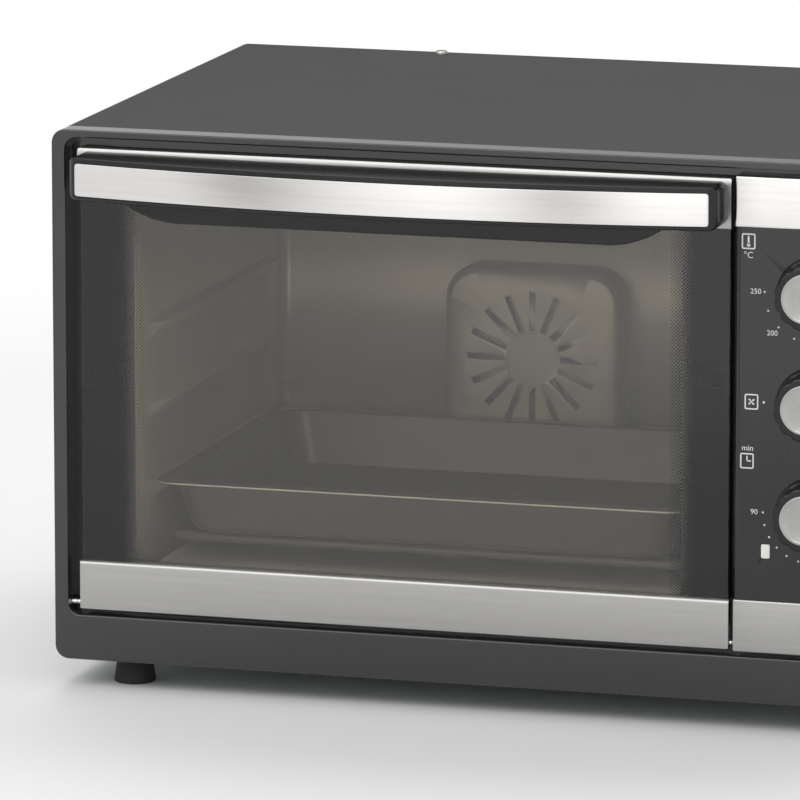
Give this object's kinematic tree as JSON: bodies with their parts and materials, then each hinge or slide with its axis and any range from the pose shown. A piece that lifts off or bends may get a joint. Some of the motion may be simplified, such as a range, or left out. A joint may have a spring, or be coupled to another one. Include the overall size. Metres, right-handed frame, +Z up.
{
  "type": "electric countertop oven",
  "caption": "Countertop oven with a full-width drop-down glass door, bowed handle, steel trims and a slim control fascia on the right.",
  "frame": {"origin": "middle of the footprint, on the surface that the feet stand on", "axes": "+Z up, +X to the right as seen from the front, -Y towards the front, where the door is"},
  "size_m": [0.4986, 0.3958, 0.3239],
  "materials": {
    "frame_black": "satin black",
    "casing_black": "fine textured black paint",
    "galvanised": "bare galvanised sheet",
    "cavity_steel": "grey coated sheet, satin",
    "steel_brushed": "brushed along X",
    "handle_plastic": "smooth, half gloss",
    "fascia_plastic": "high gloss",
    "knob_plastic": "satin",
    "door_glass": "tinted, printed black at the sides",
    "tray_enamel": "dark enamel",
    "element_steel": "heat-darkened sheath",
    "ceramic_white": "unglazed ceramic",
    "aluminised": "mill finish",
    "pin_steel": "bright",
    "silicone": "matte",
    "foot_rubber": "matte",
    "screw_steel": "zinc plated",
    "unit_plastic": "moulded",
    "motor_steel": "laminated stack",
    "lens_clear": "amber, glossy",
    "bell_steel": "plated"
  },
  "bodies": {
    "oven": {"baking_tray": "tray_enamel", "base_pan": "galvanised", "casing_screws": "screw_steel", "cavity_face_plate": "frame_black", "cavity_floor": "cavity_steel", "cavity_left_wall": "cavity_steel", "cavity_rear_wall": "cavity_steel", "cavity_right_wall": "cavity_steel", "cavity_roof": "cavity_steel", "cavity_support": "galvanised", "cord_gland": "silicone", "crumb_tray": "aluminised", "element_bushes": "ceramic_white", "fan_cover": "cavity_steel", "fan_motor": "motor_steel", "fascia": "fascia_plastic", "fascia_bottom_plate": "steel_brushed", "fascia_top_plate": "steel_brushed", "foot_front_left": "foot_rubber", "foot_front_right": "foot_rubber", "foot_rear_left": "foot_rubber", "foot_rear_right": "foot_rubber", "front_frame": "frame_black", "function_switch": "unit_plastic", "hinge_bushes": "unit_plastic", "indicator_lens": "lens_clear", "lamp_holder": "unit_plastic", "lower_heating_element": "element_steel", "outer_casing": "casing_black", "rear_panel": "galvanised", "terminal_block": "unit_plastic", "thermostat": "motor_steel", "timer_bell": "bell_steel", "timer_unit": "motor_steel", "upper_heating_element": "element_steel", "wall_spacers": "knob_plastic"},
    "door": {"door_glass": "door_glass", "door_top_trim": "steel_brushed", "door_bottom_trim": "steel_brushed", "glass_packing": "silicone", "handle": "handle_plastic", "handle_inlay": "steel_brushed", "handle_screws": "screw_steel", "hinge_blocks": "pin_steel", "hinge_pin_left": "pin_steel", "hinge_pin_right": "pin_steel", "door_stay_left": "pin_steel", "door_stay_right": "pin_steel"},
    "fan": {"fan_wheel": "aluminised", "fan_shaft": "pin_steel"},
    "temperature_dial": {"temperature_knob": "knob_plastic", "temperature_knob_cap": "steel_brushed", "temperature_shaft": "pin_steel"},
    "function_dial": {"function_knob": "knob_plastic", "function_knob_cap": "steel_brushed", "function_shaft": "pin_steel"},
    "timer_dial": {"timer_knob": "knob_plastic", "timer_knob_cap": "steel_brushed", "timer_shaft": "pin_steel"}
  },
  "joints": [
    {"name": "door_hinge", "type": "hinge", "parent": "oven", "child": "door", "pos_m": [-0.04335, -0.1517, 0.0492], "axis": [1, 0, 0], "range_deg": [0, 90], "stiffness_Nm_per_rad": 0.6, "springref_deg": -45.84},
    {"name": "temperature_turn", "type": "hinge", "parent": "oven", "child": "temperature_dial", "pos_m": [0.19425, -0.1587, 0.2496], "axis": [0, 1, 0], "range_deg": [0, 270]},
    {"name": "function_turn", "type": "hinge", "parent": "oven", "child": "function_dial", "pos_m": [0.19425, -0.1587, 0.1876], "axis": [0, 1, 0], "range_deg": [0, 270]},
    {"name": "timer_turn", "type": "hinge", "parent": "oven", "child": "timer_dial", "pos_m": [0.19425, -0.1587, 0.1256], "axis": [0, 1, 0], "range_deg": [0, 270]},
    {"name": "fan_spin", "type": "hinge", "parent": "oven", "child": "fan", "pos_m": [-0.04335, 0.1231, 0.1516], "axis": [0, 1, 0], "continuous": true}
  ]
}
